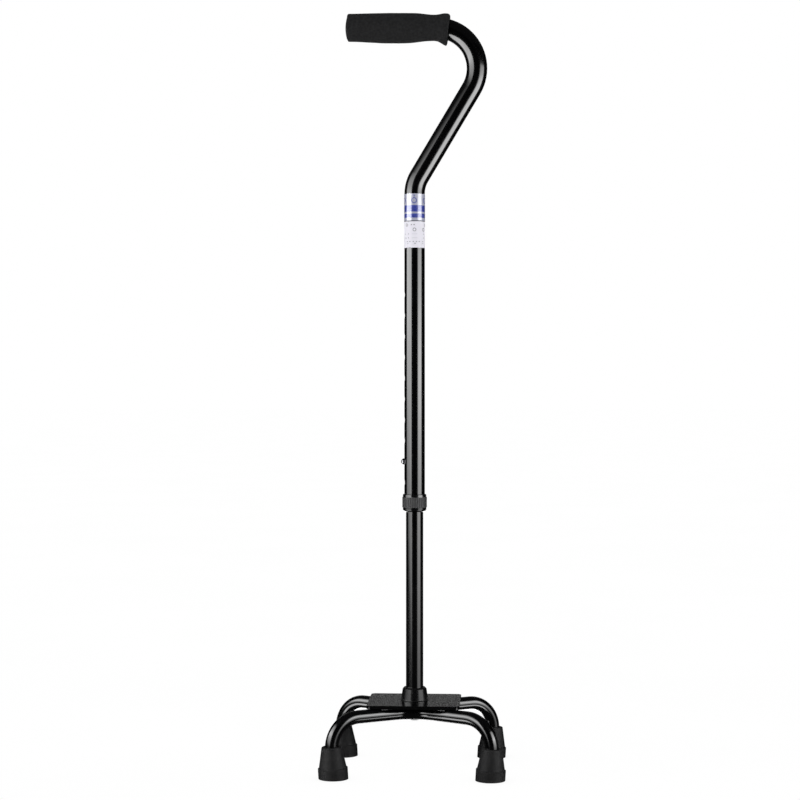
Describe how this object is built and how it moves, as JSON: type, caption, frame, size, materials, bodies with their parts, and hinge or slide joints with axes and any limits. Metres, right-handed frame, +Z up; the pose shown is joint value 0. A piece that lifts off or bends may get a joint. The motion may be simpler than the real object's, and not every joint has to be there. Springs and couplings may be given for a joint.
{
  "type": "quad walking cane",
  "caption": "Height-adjustable walking cane with an offset foam-gripped handle, a telescoping tube stem with snap button and clamp collar, and a small base with splayed rubber-tipped legs.",
  "frame": {"origin": "on the floor under the stem axis, midway between the feet", "axes": "+Z up along the stem; the free end of the handle points to -X; +Y to the rear, with the base the same front to back"},
  "size_m": [0.2224, 0.1778, 0.919],
  "materials": {
    "black_coat": "glossy black powder coat",
    "foam": "matt black closed-cell foam",
    "tip_rubber": "matt black moulded rubber",
    "black_plastic": "satin black nylon",
    "gloss_plastic": "glossy black plastic",
    "white_plastic": "natural white acetal",
    "bright_steel": "zinc plated steel",
    "chrome": "polished chrome",
    "alloy": "plain machined alloy",
    "label_blue": "coated label film, white with blue bands",
    "label_white": "coated label film, white"
  },
  "bodies": {
    "base": {"base_plate": "black_coat", "front_leg_tube": "black_coat", "rear_leg_tube": "black_coat", "stem_socket": "black_coat", "weld_beads": "black_coat", "foot_front_left": "tip_rubber", "foot_front_right": "tip_rubber", "foot_rear_left": "tip_rubber", "foot_rear_right": "tip_rubber", "foot_washers": "bright_steel", "cone_collar": "gloss_plastic", "stem_insert": "alloy", "stem_bolt": "bright_steel", "flat_washer": "bright_steel", "lock_washer": "bright_steel", "lower_tube": "black_coat", "guide_bush": "white_plastic", "button_spring": "bright_steel"},
    "button": {"push_button": "chrome"},
    "upper": {"upper_tube": "black_coat", "foam_grip": "foam", "handle_plug": "gloss_plastic", "size_label": "label_blue", "care_label": "label_white", "lock_sleeve": "black_plastic"},
    "clamp": {"clamp_ring": "white_plastic"},
    "collar": {"collar_nut": "black_plastic"}
  },
  "joints": [
    {"name": "height_slide", "type": "slide", "parent": "base", "child": "upper", "axis": [0, 0, 1], "range_m": [-0.2032, 0.0254], "deforming": ["push_button"]},
    {"name": "button_press", "type": "slide", "parent": "base", "child": "button", "axis": [1, 0, 0], "range_m": [0, 0.0055], "stiffness_N_per_m": 1200, "springref_m": -0.004, "deforming": ["button_spring"]},
    {"name": "clamp_slide", "type": "slide", "parent": "upper", "child": "clamp", "axis": [0, 0, 1], "range_m": [-0.002, 0]},
    {"name": "collar_turn", "type": "hinge", "parent": "clamp", "child": "collar", "pos_m": [0, 0, 0.322], "axis": [0, 0, 1], "range_deg": [-360, 0]}
  ],
  "couplings": [
    {"joint": "collar_turn", "follows": "clamp_slide", "rad_per_m": 3141.6}
  ]
}
